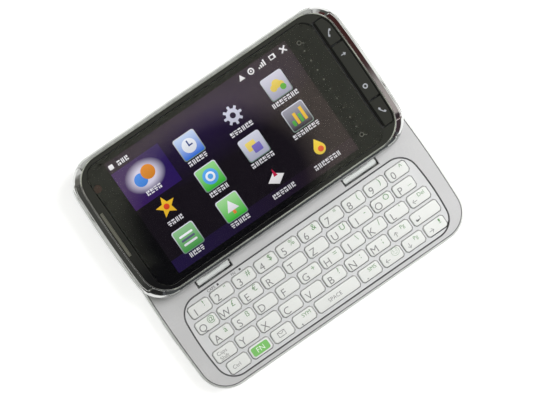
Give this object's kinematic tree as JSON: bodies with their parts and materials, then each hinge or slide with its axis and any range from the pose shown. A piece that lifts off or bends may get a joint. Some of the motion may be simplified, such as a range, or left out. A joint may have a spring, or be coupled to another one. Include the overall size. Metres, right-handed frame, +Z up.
{
  "type": "slider phone",
  "caption": "Side-sliding phone with a letter keyboard in its base and a touch display that slides across and tilts up on a hinge.",
  "frame": {"origin": "middle of the base's underside, on the face the phone lies on", "axes": "+X along the phone towards its call keys and data socket, -Y towards the keyboard side, +Z up out of the keyboard"},
  "size_m": [0.1162, 0.0998, 0.0172],
  "materials": {
    "shell_white": "satin",
    "deck_silver": "satin",
    "cover_metal": "brushed",
    "battery_foil": "satin",
    "contact_black": "matte",
    "board_green": "satin",
    "steel": "brushed",
    "mesh_steel": "brushed",
    "panel_silver": "satin",
    "dome_film": "matte",
    "key_white": "satin",
    "bar_silver": "satin",
    "shoe_nylon": "matte",
    "tube_plastic": "matte",
    "stylus_silver": "satin",
    "side_key_silver": "polished",
    "lens_glass": "polished",
    "chassis_magnesium": "matte",
    "chrome_dark": "polished",
    "face_black": "polished",
    "window_glass": "polished",
    "lcd_glass": "polished"
  },
  "bodies": {
    "base": {"lower_shell": "shell_white", "deck": "deck_silver", "battery_cover": "cover_metal", "battery": "battery_foil", "battery_contacts": "contact_black", "main_board": "board_green", "sim_holder": "steel", "keyboard_panel": "panel_silver", "key_dome_sheet": "dome_film", "hinge_brackets": "steel", "hinge_pins": "steel", "camera_module": "contact_black", "camera_lens": "lens_glass", "loudspeaker": "contact_black", "speaker_grille": "mesh_steel", "usb_socket": "steel", "stylus_sleeve": "tube_plastic", "vibration_motor": "steel"},
    "tilt_carrier": {"tilt_plate": "steel", "hinge_bars": "bar_silver", "slide_shoes": "shoe_nylon"},
    "display": {"display_bezel": "chrome_dark", "end_trim_left": "chrome_dark", "end_trim_right": "chrome_dark", "side_strip_front": "chrome_dark", "side_strip_rear": "chrome_dark", "display_chassis": "chassis_magnesium", "slide_rails": "steel", "face_frame": "face_black", "touch_window": "window_glass", "lcd_panel": "lcd_glass", "display_board": "board_green", "earpiece_grille": "mesh_steel", "earpiece": "contact_black", "front_camera": "contact_black"},
    "number_keys": {"number_keys": "key_white"},
    "upper_letter_keys": {"upper_letter_keys": "key_white"},
    "home_letter_keys": {"home_letter_keys": "key_white"},
    "delete_key": {"delete_key": "key_white"},
    "shift_key": {"shift_key": "key_white"},
    "lower_letter_keys": {"lower_letter_keys": "key_white"},
    "up_key": {"up_key": "key_white"},
    "enter_key": {"enter_key": "key_white"},
    "control_key": {"control_key": "key_white"},
    "function_key": {"function_key": "key_white"},
    "mail_key": {"mail_key": "key_white"},
    "comma_key": {"comma_key": "key_white"},
    "space_key": {"space_key": "key_white"},
    "period_key": {"period_key": "key_white"},
    "left_key": {"left_key": "key_white"},
    "down_key": {"down_key": "key_white"},
    "right_key": {"right_key": "key_white"},
    "call_key": {"call_key": "face_black"},
    "centre_key": {"centre_key": "face_black"},
    "end_key": {"end_key": "face_black"},
    "stylus": {"stylus": "stylus_silver"},
    "power_button": {"power_button": "side_key_silver"},
    "volume_rocker": {"volume_rocker": "side_key_silver"},
    "vibrator_weight": {"vibrator_weight": "steel"}
  },
  "joints": [
    {"name": "tilt", "type": "hinge", "parent": "base", "child": "tilt_carrier", "pos_m": [0, 0.0099, 0.0074], "axis": [1, 0, 0], "range_deg": [0, 40]},
    {"name": "display_slide", "type": "slide", "parent": "tilt_carrier", "child": "display", "axis": [0, 1, 0], "range_m": [-0.0404, 0]},
    {"name": "number_keys_press", "type": "slide", "parent": "base", "child": "number_keys", "axis": [0, 0, -1], "range_m": [0, 0.0003], "stiffness_N_per_m": 800, "springref_m": -0.0004},
    {"name": "upper_letter_keys_press", "type": "slide", "parent": "base", "child": "upper_letter_keys", "axis": [0, 0, -1], "range_m": [0, 0.0003], "stiffness_N_per_m": 800, "springref_m": -0.0004},
    {"name": "home_letter_keys_press", "type": "slide", "parent": "base", "child": "home_letter_keys", "axis": [0, 0, -1], "range_m": [0, 0.0003], "stiffness_N_per_m": 800, "springref_m": -0.0004},
    {"name": "delete_key_press", "type": "slide", "parent": "base", "child": "delete_key", "axis": [0, 0, -1], "range_m": [0, 0.0003], "stiffness_N_per_m": 800, "springref_m": -0.0004},
    {"name": "shift_key_press", "type": "slide", "parent": "base", "child": "shift_key", "axis": [0, 0, -1], "range_m": [0, 0.0003], "stiffness_N_per_m": 800, "springref_m": -0.0004},
    {"name": "lower_letter_keys_press", "type": "slide", "parent": "base", "child": "lower_letter_keys", "axis": [0, 0, -1], "range_m": [0, 0.0003], "stiffness_N_per_m": 800, "springref_m": -0.0004},
    {"name": "up_key_press", "type": "slide", "parent": "base", "child": "up_key", "axis": [0, 0, -1], "range_m": [0, 0.0003], "stiffness_N_per_m": 800, "springref_m": -0.0004},
    {"name": "enter_key_press", "type": "slide", "parent": "base", "child": "enter_key", "axis": [0, 0, -1], "range_m": [0, 0.0003], "stiffness_N_per_m": 800, "springref_m": -0.0004},
    {"name": "control_key_press", "type": "slide", "parent": "base", "child": "control_key", "axis": [0, 0, -1], "range_m": [0, 0.0003], "stiffness_N_per_m": 800, "springref_m": -0.0004},
    {"name": "function_key_press", "type": "slide", "parent": "base", "child": "function_key", "axis": [0, 0, -1], "range_m": [0, 0.0003], "stiffness_N_per_m": 800, "springref_m": -0.0004},
    {"name": "mail_key_press", "type": "slide", "parent": "base", "child": "mail_key", "axis": [0, 0, -1], "range_m": [0, 0.0003], "stiffness_N_per_m": 800, "springref_m": -0.0004},
    {"name": "comma_key_press", "type": "slide", "parent": "base", "child": "comma_key", "axis": [0, 0, -1], "range_m": [0, 0.0003], "stiffness_N_per_m": 800, "springref_m": -0.0004},
    {"name": "space_key_press", "type": "slide", "parent": "base", "child": "space_key", "axis": [0, 0, -1], "range_m": [0, 0.0003], "stiffness_N_per_m": 800, "springref_m": -0.0004},
    {"name": "period_key_press", "type": "slide", "parent": "base", "child": "period_key", "axis": [0, 0, -1], "range_m": [0, 0.0003], "stiffness_N_per_m": 800, "springref_m": -0.0004},
    {"name": "left_key_press", "type": "slide", "parent": "base", "child": "left_key", "axis": [0, 0, -1], "range_m": [0, 0.0003], "stiffness_N_per_m": 800, "springref_m": -0.0004},
    {"name": "down_key_press", "type": "slide", "parent": "base", "child": "down_key", "axis": [0, 0, -1], "range_m": [0, 0.0003], "stiffness_N_per_m": 800, "springref_m": -0.0004},
    {"name": "right_key_press", "type": "slide", "parent": "base", "child": "right_key", "axis": [0, 0, -1], "range_m": [0, 0.0003], "stiffness_N_per_m": 800, "springref_m": -0.0004},
    {"name": "call_key_press", "type": "slide", "parent": "display", "child": "call_key", "axis": [0, 0, -1], "range_m": [0, 0.0003], "stiffness_N_per_m": 800, "springref_m": -0.0004},
    {"name": "end_key_press", "type": "slide", "parent": "display", "child": "end_key", "axis": [0, 0, -1], "range_m": [0, 0.0003], "stiffness_N_per_m": 800, "springref_m": -0.0004},
    {"name": "centre_key_rock", "type": "hinge", "parent": "display", "child": "centre_key", "pos_m": [0.0512, 0.04065, 0.0152], "axis": [1, 0, 0], "range_deg": [-1.5, 1.5], "stiffness_Nm_per_rad": 0.08},
    {"name": "power_button_press", "type": "slide", "parent": "base", "child": "power_button", "axis": [1, 0, 0], "range_m": [0, 0.0003], "stiffness_N_per_m": 800, "springref_m": -0.0004},
    {"name": "volume_rock", "type": "hinge", "parent": "base", "child": "volume_rocker", "pos_m": [-0.03, -0.0279, 0.0049], "axis": [0, 0, 1], "range_deg": [-1.5, 1.5], "stiffness_Nm_per_rad": 0.06},
    {"name": "stylus_draw", "type": "slide", "parent": "base", "child": "stylus", "axis": [1, 0, 0], "range_m": [0, 0.095]},
    {"name": "vibrator_spin", "type": "hinge", "parent": "base", "child": "vibrator_weight", "pos_m": [-0.0415, -0.022, 0.00385], "axis": [1, 0, 0], "continuous": true}
  ]
}
